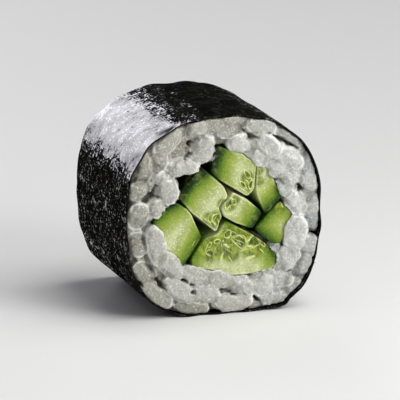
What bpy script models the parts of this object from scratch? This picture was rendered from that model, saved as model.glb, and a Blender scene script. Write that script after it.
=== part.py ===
"""Cucumber maki roll lying on its side, as one Blender scene of closed solids.

A sheet of nori wraps a ring of pressed rice, and seven sticks of cucumber run through the middle.
The roll's axis is Y, its cut faces look along -Y (the front) and +Y, and it rests on Z = 0 on the
flat that its own weight has pressed. Lengths are in metres.
"""

import math

import bpy
import numpy as np

MM = 0.001

# The roll's cross-section: a rounded square, squarer at the bottom, where it has sagged
HALF_WIDTH = 16.9 * MM
HALF_HEIGHT = 16.9 * MM
AXIS_HEIGHT = 16.55 * MM  # from the surface that it rests on
SQUARENESS_MEAN = 2.64  # exponent of the superellipse; 2 is an ellipse
SQUARENESS_SAG = 0.22  # more of it below the axis, less above

# Nori, rolled from a strip whose outer end laps over its inner end at the lower right
NORI_LENGTH = 28.6 * MM
NORI_THICKNESS = 0.35 * MM
NORI_LAP_GAP = 0.12 * MM
NORI_START = math.radians(-54)
NORI_LAP = math.radians(24)
NORI_LIFT_RAMP = math.radians(13)
NORI_LUMP = 0.07 * MM  # usual height of the grains that show through the sheet
NORI_LUMP_SPACING = 5.5 * MM
NORI_COLUMNS = 92
NORI_ROWS = 5

# Rice
CLEARANCE = 0.32 * MM  # between neighbouring solids
GRAIN_LENGTH = 5.9 * MM
GRAIN_WIDTH = 3.3 * MM
GRAIN_DEPTH = 1.5 * MM  # from a grain's face to the valley beside it
GRAINS_PER_FACE = 52
GRAIN_PROUD = (-0.25 * MM, 0.65 * MM)  # how far faces stand out of the nori's edge
GRAIN_VALLEY = -1.0 * MM
EDGE_NOTCH = 0.5 * MM  # how deep the outline dips between two grains
FACE_COLUMNS = 144
FACE_RINGS = 8
END_ZONE = 4.0 * MM  # the rice closes on the cucumber this far behind a face

# Gaps between rice and cucumber: (direction in degrees, half width in degrees, depth)
FRONT_GAPS = ((139, 17, 1.5 * MM), (166, 10, 0.7 * MM), (106, 8, 0.8 * MM), (-63, 9, 0.5 * MM))
BACK_GAPS = ((35, 14, 1.1 * MM), (-118, 10, 0.8 * MM))

# Cucumber sticks. Corners run clockwise, in millimetres from the roll's axis, X then Z. The skin is
# on the side that starts at each corner counted in "skin", and "set_back" is how far the front end
# lies behind the nori's edge, in millimetres.
CUCUMBER_RADIUS = 13.5 * MM
STICK_EDGE = 0.35 * MM
STICK_BACK_SET = 0.5 * MM
STICKS = {
    "cucumber_top": {
        "corners": ((-2.1, 7.5), (-0.9, 11.8), (3.2, 10.2), (5.5, 8.5), (5.2, 4.2), (4.1, 3.1), (-0.3, 6.0)),
        "skin": (0,),
        "set_back": 0.1,
    },
    "cucumber_upper_right": {
        "corners": ((5.9, 8.4), (7.9, 7.3), (10.0, 2.6), (7.2, -0.1), (5.7, 3.6)),
        "skin": (2,),
        "set_back": 0.25,
    },
    "cucumber_mid_left": {
        "corners": (
            (-7.8, 3.8), (-3.5, 8.1), (-2.9, 7.6), (0.0, 4.9), (0.7, 3.2), (-0.9, 1.5), (-0.3, 0.0),
            (-1.3, -2.6), (-5.4, 1.0),
        ),
        "skin": (0,),
        "set_back": 0.35,
    },
    "cucumber_mid_right": {
        "corners": (
            (1.1, 3.1), (1.5, 3.9), (3.9, 2.5), (6.5, 0.3), (4.9, -2.4), (1.9, -1.1), (0.1, 0.0), (-0.4, 1.5),
        ),
        "skin": (3,),
        "set_back": 0.0,
    },
    "cucumber_left": {
        "corners": (
            (-12.1, 0.1), (-8.0, 2.7), (-6.2, 1.4), (-5.5, 0.4), (-4.7, -1.4), (-3.8, -3.3), (-7.0, -8.3),
            (-9.7, -4.8), (-11.6, -0.9),
        ),
        "skin": (0,),
        "set_back": 0.45,
    },
    "cucumber_right": {
        "corners": ((7.3, -0.6), (9.8, 1.8), (11.9, -0.4), (11.4, -2.0), (9.8, -5.5), (8.1, -4.9), (5.6, -2.6)),
        "skin": (5,),
        "set_back": 0.3,
    },
    "cucumber_bottom": {
        "corners": (
            (-3.3, -3.7), (-0.9, -3.1), (0.3, -0.9), (4.4, -3.2), (6.9, -5.0), (9.3, -7.5), (8.6, -9.4),
            (3.9, -10.1), (0.8, -10.0), (-2.4, -8.8), (-5.3, -8.4), (-5.5, -6.8),
        ),
        "skin": (4,),
        "set_back": 0.2,
    },
}

COLOURS = {  # base colour, roughness
    "nori": ((0.012, 0.016, 0.010), 0.32),
    "rice": ((0.78, 0.78, 0.73), 0.45),
    "cucumber": ((0.42, 0.55, 0.16), 0.35),
}


def unit(angle):
    """The unit vector in the XZ plane at each angle, counted from +X towards +Z."""
    return np.stack([np.cos(angle), np.sin(angle)], axis=-1)


def full_turn(count):
    return np.arange(count) * (2 * math.pi / count)


def periodic(angle, table):
    """Reads a table of values spaced evenly over a full turn."""
    steps = np.append(full_turn(len(table)), 2 * math.pi)
    return np.interp(np.mod(angle, 2 * math.pi), steps, np.append(table, table[0]))


def section_radius(angle, outset=0.0):
    """Distance from the axis to the wrapped sheet's outside: a superellipse, cut off flat at the bottom."""
    across, up = np.cos(angle), np.sin(angle)
    power = SQUARENESS_MEAN - SQUARENESS_SAG * up
    radius = (np.abs(across / HALF_WIDTH) ** power + np.abs(up / HALF_HEIGHT) ** power) ** (-1 / power)
    to_floor = AXIS_HEIGHT / np.maximum(-up, 1e-6)
    return np.minimum(radius + outset, to_floor)


def material(name, slot):
    """A plain Principled material in that slot's colour."""
    colour, roughness = COLOURS[slot]
    made = bpy.data.materials.new(name)
    made.use_nodes = True
    shader = made.node_tree.nodes["Principled BSDF"]
    shader.inputs["Base Color"].default_value = (*colour, 1.0)
    shader.inputs["Roughness"].default_value = roughness
    shader.inputs["Metallic"].default_value = 0.0
    return made


def new_object(name, slot, points, faces):
    """One named object, with a material of its own, standing with the roll's axis at its real height."""
    mesh = bpy.data.meshes.new(name)
    mesh.from_pydata(points.tolist(), [], faces.tolist() if hasattr(faces, "tolist") else faces)
    mesh.update()
    mesh.shade_smooth()
    mesh.set_sharp_from_angle(angle=math.radians(40))
    mesh.materials.append(material(name, slot))
    made = bpy.data.objects.new(name, mesh)
    made.location.z = AXIS_HEIGHT
    bpy.context.scene.collection.objects.link(made)
    return made


def grid_faces(columns, rows, columns_wrap, rows_wrap):
    """Quads over a grid of points stored column by column."""
    column = np.arange(columns if columns_wrap else columns - 1)[:, None]
    row = np.arange(rows if rows_wrap else rows - 1)[None, :]
    right, above = (column + 1) % columns, (row + 1) % rows
    quads = [column * rows + row, column * rows + above, right * rows + above, right * rows + row]
    return np.stack(np.broadcast_arrays(*quads), axis=-1).reshape(-1, 4)


# ---- nori ----


def nori_lumps(around, along, waves=14, seed=5):
    """Low bumps where grains press into the sheet: a sum of plane waves in every direction."""
    rng = np.random.default_rng(seed)
    heading = rng.uniform(0, 2 * math.pi, waves)
    turns = 2 * math.pi / (NORI_LUMP_SPACING * rng.uniform(0.8, 1.3, waves))
    start = rng.uniform(0, 2 * math.pi, waves)
    phase = (
        around[..., None] * turns * np.cos(heading) + along[..., None] * turns * np.sin(heading) + start
    )
    return NORI_LUMP * np.cos(phase).sum(axis=-1) * math.sqrt(2 / waves)


def build_nori():
    """The sheet's outside as a grid, which Solidify thickens inwards.

    Travelling once round from NORI_START, the sheet lifts by its own thickness and laps over its start.
    """
    travelled = np.linspace(0, 2 * math.pi + NORI_LAP, NORI_COLUMNS)[:, None]
    along = np.linspace(-NORI_LENGTH / 2, NORI_LENGTH / 2, NORI_ROWS + 1)[None, :]
    angle = NORI_START + travelled
    ramp = np.clip((travelled - 2 * math.pi + NORI_LIFT_RAMP) / NORI_LIFT_RAMP, 0, 1)
    lift = (NORI_THICKNESS + NORI_LAP_GAP) * ramp * ramp * (3 - 2 * ramp)
    # The lapping end repeats the bumps of the sheet under it, so that the two layers never meet.
    lumps = nori_lumps(np.mod(travelled, 2 * math.pi) * HALF_WIDTH + 0 * along, along + 0 * travelled)
    lap_fade = np.clip(np.abs(travelled - math.pi) / math.pi, 0, 1) ** 6
    radius = section_radius(angle, lift + lumps * np.clip(1 - lap_fade, 0, 1))
    across_up = unit(angle) * radius[..., None]
    points = np.stack([across_up[..., 0], along + 0 * angle, across_up[..., 1]], axis=-1)
    faces = grid_faces(NORI_COLUMNS, NORI_ROWS + 1, False, False)
    made = new_object("nori", "nori", points.reshape(-1, 3), faces)
    wall = made.modifiers.new("thickness", "SOLIDIFY")
    wall.thickness = NORI_THICKNESS
    wall.offset = -1
    return made


# ---- cucumber ----


def stick_outline(corners, skin):
    """The stick's section: its corners, with the sides that carry skin bowed to the cucumber's radius."""
    corners = np.array(corners) * MM
    outline = []
    for index, start in enumerate(corners):
        end = corners[(index + 1) % len(corners)]
        outline.append(start)
        if index in skin:
            side = end - start
            length = math.hypot(*side)
            outward = np.array([-side[1], side[0]]) / length
            for share in (0.25, 0.5, 0.75):
                reach = (share - 0.5) * length
                bow = math.sqrt(CUCUMBER_RADIUS**2 - reach**2) - math.sqrt(
                    CUCUMBER_RADIUS**2 - length**2 / 4
                )
                outline.append(start + side * share + outward * bow)
    return np.array(outline)


def build_stick(name, stick, tilt):
    """A straight prism whose ends are cut a little out of square, with every edge rounded."""
    outline = stick_outline(stick["corners"], stick["skin"])
    count = len(outline)
    centre = outline.mean(axis=0)
    slope = (outline - centre) @ np.array(tilt)
    front = -NORI_LENGTH / 2 + stick["set_back"] * MM + slope
    back = NORI_LENGTH / 2 - STICK_BACK_SET + slope
    points = np.concatenate(
        [np.column_stack([outline[:, 0], end, outline[:, 1]]) for end in (front, back)]
    )
    sides = [[i, (i + 1) % count, count + (i + 1) % count, count + i] for i in range(count)]
    ends = [list(range(count))[::-1], list(range(count, 2 * count))]
    made = new_object(name, "cucumber", points, sides + ends)
    rounding = made.modifiers.new("edges", "BEVEL")
    rounding.width = STICK_EDGE
    rounding.segments = 2
    rounding.limit_method = "ANGLE"
    rounding.angle_limit = math.radians(24)
    return made


# ---- rice ----


def bundle_radius(angle):
    """How far the sticks, with the clearance round them, reach from the axis in each direction."""
    reach = np.zeros(len(angle))
    for stick in STICKS.values():
        outline = stick_outline(stick["corners"], stick["skin"])
        share = np.linspace(0, 1, 24, endpoint=False)[None, :, None]
        edge = (outline[:, None] * (1 - share) + np.roll(outline, -1, axis=0)[:, None] * share).reshape(-1, 2)
        distance = np.hypot(edge[:, 0], edge[:, 1])
        turn = angle[:, None] - np.arctan2(edge[:, 1], edge[:, 0])[None, :]
        under_root = CLEARANCE**2 - (distance * np.sin(turn)) ** 2
        hit = (under_root > 0) & (np.cos(turn) > 0)
        far = np.where(hit, distance * np.cos(turn) + np.sqrt(np.maximum(under_root, 0)), 0)
        reach = np.maximum(reach, far.max(axis=1))
    widest = np.max([np.roll(reach, shift) for shift in (-1, 0, 1)], axis=0)
    return np.maximum(widest, (np.roll(widest, 1) + widest + np.roll(widest, -1)) / 3)


def gap_depth(angle, gaps):
    """Extra room between rice and cucumber, as one rounded hollow for each gap."""
    depth = np.zeros_like(angle)
    for direction, half_width, deepest in gaps:
        off = np.mod(angle - math.radians(direction) + math.pi, 2 * math.pi) - math.pi
        depth += deepest * np.exp(-((off / math.radians(half_width)) ** 2))
    return depth


def packed_grains(outer, inner, seed, rounds=220):
    """Lays grains flat in the ring between two outlines and pushes them apart until they share it evenly.

    Each grain is three discs in a row. Returns centres, headings and (length, width) of the grains.
    """
    rng = np.random.default_rng(seed)
    index = np.arange(GRAINS_PER_FACE)
    angle = index * math.pi * (3 - math.sqrt(5))
    share = np.sqrt((index + 0.5) / GRAINS_PER_FACE)
    near, far = periodic(angle, inner), periodic(angle, outer)
    centre = unit(angle) * (near + (far - near) * share)[:, None]
    heading = angle + math.pi / 2 + rng.normal(0, 0.6, GRAINS_PER_FACE)
    size = np.array([GRAIN_LENGTH, GRAIN_WIDTH]) * rng.uniform(0.85, 1.1, (GRAINS_PER_FACE, 2))
    disc = np.repeat(size[:, 1] * 0.45, 3)
    same = np.repeat(index, 3)[:, None] == np.repeat(index, 3)[None, :]
    for _ in range(rounds):
        arm = unit(heading)[:, None] * ((size[:, 0] - size[:, 1]) / 2)[:, None, None]
        arm = arm * np.array([-1, 0, 1])[None, :, None]
        spot = (centre[:, None] + arm).reshape(-1, 2)
        apart = spot[:, None] - spot[None, :]
        distance = np.linalg.norm(apart, axis=-1) + 1e-9
        squeeze = np.where(same, 0, np.maximum(disc[:, None] + disc[None, :] - distance, 0))
        push = (apart / distance[..., None] * squeeze[..., None]).sum(axis=1)
        turn = np.arctan2(spot[:, 1], spot[:, 0])
        radius = np.hypot(spot[:, 0], spot[:, 1])
        too_far = np.maximum(radius + disc - periodic(turn, outer), 0)
        too_near = np.maximum(periodic(turn, inner) + disc - radius, 0)
        push += unit(turn) * (too_near - too_far)[:, None]
        push = push.reshape(-1, 3, 2)
        centre = centre + 0.3 * push.mean(axis=1)
        twist = (arm[..., 0] * push[..., 1] - arm[..., 1] * push[..., 0]).sum(axis=1)
        heading = heading + 0.3 * twist / (arm**2).sum(axis=(1, 2))
    return centre, heading, size


def grain_relief(points, centre, heading, size, proud):
    """Height of the packed grains' faces over each point: the highest of the domes that cover it."""
    offset = points[..., None, :] - centre
    lengthways = (offset * unit(heading)).sum(axis=-1) / (size[:, 0] / 2)
    sideways = (offset * unit(heading + math.pi / 2)).sum(axis=-1) / (size[:, 1] / 2)
    inside = 1 - np.abs(lengthways) ** 2.5 - np.abs(sideways) ** 2.5
    dome = proud - GRAIN_DEPTH * (1 - np.sqrt(np.maximum(inside, 0)))
    return np.maximum(np.where(inside > 0, dome, GRAIN_VALLEY).max(axis=-1), GRAIN_VALLEY)


def rice_face(outer, inner, seed):
    """One cut face of the rice, from its outline inwards: points in the XZ plane and their height."""
    centre, heading, size = packed_grains(outer, inner, seed)
    proud = np.random.default_rng(seed + 1).uniform(*GRAIN_PROUD, GRAINS_PER_FACE)
    angle = full_turn(FACE_COLUMNS)
    at_rim = grain_relief(unit(angle) * (outer - GRAIN_WIDTH / 5)[:, None], centre, heading, size, proud)
    notch = EDGE_NOTCH * np.clip(-at_rim / -GRAIN_VALLEY, 0, 1)
    share = np.linspace(0, 1, FACE_RINGS + 1)
    radius = (outer - notch)[:, None] * (1 - share) + inner[:, None] * share
    points = unit(angle)[:, None] * radius[..., None]
    height = grain_relief(points, centre, heading, size, proud)
    return points, height


def build_rice():
    """A ring of rice as one closed band: front face, inner wall, back face and outer wall."""
    angle = full_turn(FACE_COLUMNS)
    outer = section_radius(angle) - NORI_THICKNESS - 2 * NORI_LUMP - CLEARANCE
    tight = bundle_radius(angle)
    half = NORI_LENGTH / 2
    front = rice_face(outer, tight + gap_depth(angle, FRONT_GAPS), seed=11)
    back = rice_face(outer, tight + gap_depth(angle, BACK_GAPS), seed=23)
    band = []

    def add_row(across_up, along):
        band.append(np.column_stack([across_up[:, 0], np.broadcast_to(along, len(angle)), across_up[:, 1]]))

    points, height = front
    for ring in range(FACE_RINGS + 1):
        add_row(points[:, ring], -half - height[:, ring])
    for along in (-half + END_ZONE, half - END_ZONE):
        add_row(unit(angle) * tight[:, None], along)
    points, height = back
    for ring in range(FACE_RINGS, -1, -1):
        add_row(points[:, ring], half + height[:, ring])
    for along in (half - END_ZONE, -half + END_ZONE):
        add_row(unit(angle) * outer[:, None], along)
    grid = np.stack(band, axis=1)
    faces = grid_faces(FACE_COLUMNS, len(band), True, True)[:, ::-1]
    return new_object("rice", "rice", grid.reshape(-1, 3), faces)


def centre_on_origin(objects):
    """Slides the roll so that the middle of its footprint is at the origin and its flat is on Z = 0."""
    graph = bpy.context.evaluated_depsgraph_get()
    corners = []
    for made in objects:
        finished = made.evaluated_get(graph)
        corners += [finished.matrix_world @ vertex.co for vertex in finished.data.vertices]
    corners = np.array(corners)
    middle = (corners.min(axis=0) + corners.max(axis=0)) / 2
    for made in objects:
        made.location.x -= middle[0]
        made.location.y -= middle[1]


def main():
    for old in list(bpy.data.objects):
        bpy.data.objects.remove(old)
    rng = np.random.default_rng(3)
    objects = [build_nori(), build_rice()]
    for name, stick in STICKS.items():
        objects.append(build_stick(name, stick, rng.uniform(-0.05, 0.05, 2)))
    centre_on_origin(objects)


main()
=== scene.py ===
import math

import bpy
import numpy as np
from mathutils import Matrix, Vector
from mathutils.bvhtree import BVHTree


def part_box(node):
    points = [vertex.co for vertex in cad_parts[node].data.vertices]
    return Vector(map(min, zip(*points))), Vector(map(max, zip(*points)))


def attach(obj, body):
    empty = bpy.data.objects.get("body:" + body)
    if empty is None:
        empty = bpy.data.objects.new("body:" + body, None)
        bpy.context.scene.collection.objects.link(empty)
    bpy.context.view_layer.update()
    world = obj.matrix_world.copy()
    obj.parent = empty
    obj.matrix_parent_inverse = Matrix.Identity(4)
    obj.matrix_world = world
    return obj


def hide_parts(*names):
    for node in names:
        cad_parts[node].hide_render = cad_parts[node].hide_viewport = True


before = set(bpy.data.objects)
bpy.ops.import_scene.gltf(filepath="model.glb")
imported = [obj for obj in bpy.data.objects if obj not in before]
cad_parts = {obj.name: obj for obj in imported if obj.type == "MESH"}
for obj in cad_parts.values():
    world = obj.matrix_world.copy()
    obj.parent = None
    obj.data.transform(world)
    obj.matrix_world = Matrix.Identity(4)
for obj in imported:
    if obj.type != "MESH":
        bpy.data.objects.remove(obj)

mm = 0.001
turn = 2 * math.pi
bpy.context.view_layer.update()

# The roll's axis runs along Y through the middle of the nori's box; -Y is the front cut face.
noriLow, noriHigh = (np.array(corner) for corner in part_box("nori"))
axisX, axisZ = (noriLow[0] + noriHigh[0]) / 2, (noriLow[2] + noriHigh[2]) / 2
noriRadius = (noriHigh[0] - noriLow[0]) / 2
frontY, backY = noriLow[1], noriHigh[1]
rollLength = backY - frontY


def unit(angle):
    # unit vectors (x, z) at angles counted from +X towards +Z
    return np.stack([np.cos(angle), np.sin(angle)], axis=-1)


def turnedFrom(angle, direction):
    # how far an angle is turned from a direction, between half a turn back and half a turn on
    return np.mod(angle - direction + math.pi, turn) - math.pi


def smoothStep(value, low, high):
    # 0 below low, 1 above high, 3t^2 - 2t^3 between
    t = np.clip((value - low) / (high - low), 0, 1)
    return t * t * (3 - 2 * t)


def softMin(value, limit, softness):
    # follows value well below the limit and levels off at it: limit - s ln(1 + e^((limit - value) / s))
    return limit - softness * np.logaddexp(0, (limit - value) / softness)


def gridQuads(rows, columns, wrapRows=False, wrapColumns=False):
    # quads over points stored row by row
    row = np.arange(rows if wrapRows else rows - 1)[:, None]
    column = np.arange(columns if wrapColumns else columns - 1)[None, :]
    here, below = row * columns, (row + 1) % rows * columns
    right = (column + 1) % columns
    corners = np.broadcast_arrays(here + column, here + right, below + right, below + column)
    return np.stack(corners, axis=-1).reshape(-1, 4)


def newPiece(name, points, quads, triangles=None, values=None):
    # one smooth mesh; values are named numbers, one for each point, that its material can read
    points = np.asarray(points, float).reshape(-1, 3)
    triangles = np.zeros((0, 3), int) if triangles is None else triangles
    halves = points[np.concatenate([quads[:, [0, 1, 2]], quads[:, [0, 2, 3]], triangles])]
    if np.einsum("ij,ij->", halves[:, 0], np.cross(halves[:, 1], halves[:, 2])) < 0:
        quads, triangles = quads[:, ::-1], triangles[:, ::-1]  # a closed shape faces outwards
    mesh = bpy.data.meshes.new(name)
    mesh.vertices.add(len(points))
    mesh.vertices.foreach_set("co", points.astype(np.float32).ravel())
    corners = np.concatenate([quads.ravel(), triangles.ravel()])
    starts = np.concatenate([np.arange(len(quads)) * 4, quads.size + np.arange(len(triangles)) * 3])
    mesh.loops.add(len(corners))
    mesh.loops.foreach_set("vertex_index", corners.astype(np.int32))
    mesh.polygons.add(len(starts))
    mesh.polygons.foreach_set("loop_start", starts.astype(np.int32))
    mesh.update(calc_edges=True)
    mesh.shade_smooth()
    for key, numbers in (values or {}).items():
        attribute = mesh.attributes.new(key, "FLOAT", "POINT")
        attribute.data.foreach_set("value", np.asarray(numbers, np.float32).ravel())
    piece = bpy.data.objects.new(name, mesh)
    bpy.context.scene.collection.objects.link(piece)
    return piece


def finishPiece(piece, material, slot, *nodes):
    # gives a piece its finish, hides the frame's solids that it stands for and rides it on the roll
    piece.data.materials.append(material)
    if nodes:
        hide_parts(*nodes)
    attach(piece, "root")


def waves(points, spacing, count, seed):
    # soft noise of unit height: a sum of plane waves in random directions, about one spacing long
    rng = np.random.default_rng(seed)
    heading = rng.normal(size=(count, 3))
    heading /= np.linalg.norm(heading, axis=1)[:, None]
    push = heading * (turn / (spacing * rng.uniform(0.7, 1.5, count)))[:, None]
    phase = points @ push.T + rng.uniform(0, turn, count)
    return np.cos(phase).sum(axis=-1) * math.sqrt(2 / count)


def treeOf(node):
    # a solid of the frame, ready for rays
    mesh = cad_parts[node].data
    mesh.calc_loop_triangles()
    return BVHTree.FromPolygons(
        [v.co for v in mesh.vertices], [t.vertices for t in mesh.loop_triangles], all_triangles=True)


def reachOf(tree, angles, y, centre):
    # distance from centre (x, z) out to the first wall that each angle meets, at that y
    start = Vector((centre[0], y, centre[1]))
    hits = [tree.ray_cast(start, Vector((math.cos(a), 0, math.sin(a))))[3] for a in angles]
    return np.array([0.0 if hit is None else hit for hit in hits])


def aroundMean(values, width):
    # rolling mean round a closed ring of values
    reach = np.arange(-width, width + 1)
    return np.mean([np.roll(values, shift, axis=0) for shift in reach], axis=0)


sectionSteps = 720
sectionAngles = np.arange(sectionSteps) * (turn / sectionSteps)
sectionEasing = 3  # steps on either side that ease a section's facets
sectionStations = np.linspace(frontY + 0.05 * mm, backY - 0.05 * mm, 9)
noriTree = treeOf("nori")
noriInside = np.stack([  # one row for each angle, one column for each station along the roll
    aroundMean(reachOf(noriTree, sectionAngles, y, (axisX, axisZ)), sectionEasing)
    for y in sectionStations], axis=1)


def ringPlace(angle):
    # the two steps of a section that an angle falls between, and its share of the way
    place = np.mod(angle, turn) / turn * sectionSteps
    low = np.floor(place).astype(int) % sectionSteps
    return low, (low + 1) % sectionSteps, place - np.floor(place)


def readRing(ring, angle):
    # a ring of values read at any angle
    low, high, share = ringPlace(angle)
    return ring[low] * (1 - share) + ring[high] * share


def noriInsideAt(angle, y):
    # the nori's inside radius at angles and places along the roll
    last = len(sectionStations) - 1.001
    place = np.clip((y - sectionStations[0]) / (sectionStations[1] - sectionStations[0]), 0, last)
    station = np.floor(place).astype(int)
    share = place - station
    share = share * share * (3 - 2 * share)
    low, high, across = ringPlace(angle)
    near = noriInside[low, station] * (1 - across) + noriInside[high, station] * across
    far = noriInside[low, station + 1] * (1 - across) + noriInside[high, station + 1] * across
    return near * (1 - share) + far * share


def stickFrame(node):
    # a stick's section and ends: its middle, the radius round it, and each end's plane y = a + bx + cz
    points = np.array([v.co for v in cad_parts[node].data.vertices])
    middle = (points[:, [0, 2]].min(axis=0) + points[:, [0, 2]].max(axis=0)) / 2
    radius = reachOf(treeOf(node), sectionAngles, 0.0, middle)
    nearEnd, onFace = 1.2 * mm, 0.05 * mm
    planes = []
    for side in (-1, 1):
        level = points[:, 1] * side
        face = points[level > level.max() - nearEnd]
        face = face[face[:, 1] * side > np.median(face[:, 1] * side) - onFace]
        terms = np.column_stack([np.ones(len(face)), face[:, 0], face[:, 2]])
        planes.append(np.linalg.lstsq(terms, face[:, 1], rcond=None)[0])
    return dict(middle=middle, radius=radius, front=planes[0], back=planes[1])


def endPlane(plane, spot):
    # y on an end's plane at spots (x, z)
    return plane[0] + spot @ plane[1:]


stickNames = sorted(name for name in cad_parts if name.startswith("cucumber"))
sticks = {name: stickFrame(name) for name in stickNames}
print("read the frame:", ", ".join(stickNames))


class Socket:
    # wraps a node's output so that plain arithmetic adds Math nodes
    def __init__(self, shader, link):
        self.shader, self.link = shader, link

    def math(self, operation, other):
        return self.shader.node("ShaderNodeMath", {"operation": operation}, [self, other])

    def __add__(self, other):
        return self.math("ADD", other)

    def __sub__(self, other):
        return self.math("SUBTRACT", other)

    def __rsub__(self, other):
        return (self * -1) + other

    def __mul__(self, other):
        return self.math("MULTIPLY", other)

    def __truediv__(self, other):
        return self.math("DIVIDE", other)

    __radd__ = __add__
    __rmul__ = __mul__

    def between(self, low, high):
        # 0 at low, 1 at high, smooth between
        return self.shader.node(
            "ShaderNodeMapRange", {"interpolation_type": "SMOOTHSTEP"}, [self, low, high, 0.0, 1.0])


class Shader:
    # one Principled material and the nodes that feed it
    def __init__(self, name, **fixed):
        self.material = bpy.data.materials.new(name)
        self.material.use_nodes = True
        self.nodes = self.material.node_tree.nodes
        self.links = self.material.node_tree.links
        self.surface = self.nodes["Principled BSDF"]
        self.finish(**fixed)

    def feed(self, node, sockets):
        pairs = sockets.items() if isinstance(sockets, dict) else enumerate(sockets)
        for key, value in pairs:
            if isinstance(value, Socket):
                self.links.new(value.link, node.inputs[key])
            elif value is not None:
                node.inputs[key].default_value = value

    def node(self, kind, settings=None, sockets=(), output=0):
        made = self.nodes.new(kind)
        for key, value in (settings or {}).items():
            if key == "stops":
                self.setStops(made.color_ramp, value)
            else:
                setattr(made, key, value)
        self.feed(made, sockets)
        return Socket(self, made.outputs[output])

    def setStops(self, ramp, stops):
        while len(ramp.elements) < len(stops):
            ramp.elements.new(0.5)
        for element, (place, colour) in zip(ramp.elements, stops):
            element.position, element.color = place, (*colour, 1)

    def place(self, scale=(1, 1, 1)):
        # object coordinates, in metres, stretched by scale
        where = self.node("ShaderNodeTexCoord", output="Object")
        return self.node("ShaderNodeMapping", sockets={"Vector": where, "Scale": scale})

    def noise(self, where, spacing, detail=3.0, roughness=0.55, distortion=0.0):
        # cloudy noise from 0 to 1, about one spacing (in metres) between its lumps
        return self.node("ShaderNodeTexNoise", sockets={
            "Vector": where, "Scale": 1 / spacing, "Detail": detail, "Roughness": roughness,
            "Distortion": distortion})

    def cells(self, where, spacing):
        # distance from the middle of the nearest of many cells, in spacings
        return self.node("ShaderNodeTexVoronoi", sockets={"Vector": where, "Scale": 1 / spacing})

    def value(self, name):
        # a number that the piece keeps at its points
        return self.node("ShaderNodeAttribute", {"attribute_name": name}, output="Fac")

    def ramp(self, factor, stops):
        return self.node("ShaderNodeValToRGB", {"stops": stops}, [factor])

    def mix(self, factor, first, second):
        # first colour at factor 0, second at factor 1
        made = self.node("ShaderNodeMix", {"data_type": "RGBA"}, output=2)
        plain = [(*c, 1) if isinstance(c, tuple) else c for c in (first, second)]
        self.feed(made.link.node, {0: factor, 6: plain[0], 7: plain[1]})
        return made

    def bump(self, height, distance, strength, under=None):
        return self.node("ShaderNodeBump", sockets={
            "Height": height, "Distance": distance, "Strength": strength, "Normal": under}, output="Normal")

    def finish(self, **inputs):
        # sets the surface's own sockets, named with _ for a space
        self.feed(self.surface, {key.replace("_", " "): value for key, value in inputs.items()})
        return self.material


nori = dict(
    thickness=0.24 * mm, clear=0.1 * mm,  # clear: how far the sheet stands off the frame's inside wall
    # the sheet starts low on the right, goes once round and laps over its start, with its tail thinned
    startAngle=math.radians(-54), lap=math.radians(24), liftRamp=math.radians(13), lapGap=0.1 * mm,
    tailTaper=math.radians(7), tailThinning=0.8, around=372, along=108,
    # lumps of the rice under the sheet; its inner side follows them by this share
    grains=300, grainLength=6 * mm, grainWidth=3.2 * mm, grainHeight=0.13 * mm, grainSink=0.08 * mm,
    innerRelief=0.6, wrinkle=0.0008 * mm, wrinkleSpacing=1.3 * mm, edgeWander=0.12 * mm, edgeSpacing=4 * mm,
    # one broad stretch of the sheet, over the upper left, is glossiest and keeps this share of its lumps
    glossAt=math.radians(137), glossBelow=math.radians(17), glossAbove=math.radians(21), glossyLumps=0.55,
    # colours of the dark sheet, of its browner clouds and of its fibres
    dark=(0.004, 0.005, 0.004), brown=(0.014, 0.012, 0.008), fibre=(0.045, 0.040, 0.028))


def sheetWaves(travelled, y, spacing, count, seed, stretch=1.0):
    # plane waves that close after one turn; stretch draws them out round the roll
    rng = np.random.default_rng(seed)
    heading = rng.uniform(0, turn, count)
    size = spacing * rng.uniform(0.7, 1.5, count)
    times = np.round(turn * noriRadius * np.cos(heading) / (size * stretch))
    slope = turn * np.sin(heading) / size
    phase = travelled[..., None] * times + y[..., None] * slope + rng.uniform(0, turn, count)
    return np.cos(phase).sum(axis=-1) * math.sqrt(2 / count)


def grainLumps(travelled, y):
    # the grains under the sheet, as the highest of many low domes scattered round the roll
    rng = np.random.default_rng(8)
    count = nori["grains"]
    index = np.arange(count)
    atTurn = np.mod(index * (math.sqrt(5) - 1) / 2, 1) * turn + rng.normal(0, 0.03, count)
    atY = frontY + rollLength * (index + 0.5) / count + rng.normal(0, 0.4 * mm, count)
    heading = rng.uniform(0, math.pi, count)
    long = nori["grainLength"] / 2 * rng.uniform(0.8, 1.15, count)
    wide = nori["grainWidth"] / 2 * rng.uniform(0.85, 1.15, count)
    height = rng.uniform(0.55, 1.0, count)
    best = np.zeros(travelled.shape)
    for i in range(count):
        across = turnedFrom(travelled, atTurn[i]) * noriRadius
        up = y - atY[i]
        u = (across * math.cos(heading[i]) + up * math.sin(heading[i])) / long[i]
        v = (up * math.cos(heading[i]) - across * math.sin(heading[i])) / wide[i]
        best = np.maximum(best, height[i] * np.sqrt(np.clip(1 - (u * u + v * v) / 1.6, 0, 1)))
    return best


def sheetGloss(angle):
    # how glossy the sheet is: e^(-(off / reach)^4) round the glossiest direction
    off = turnedFrom(angle, nori["glossAt"])
    return np.exp(-((off / np.where(off > 0, nori["glossBelow"], nori["glossAbove"])) ** 4))


def sheetQuads(rows, columns):
    # the outer grid, the inner grid turned over, and the quads round their rim
    count = rows * columns
    index = np.arange(count).reshape(rows, columns)
    rim = np.concatenate([index[0, ::-1], index[:-1, 0][1:], index[-1, :], index[::-1, -1][1:-1]])
    rimNext = np.roll(rim, -1)
    outer = gridQuads(rows, columns)
    return np.concatenate([
        outer, outer[:, ::-1] + count, np.stack([rim, rimNext, rimNext + count, rim + count], axis=-1)])


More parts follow.
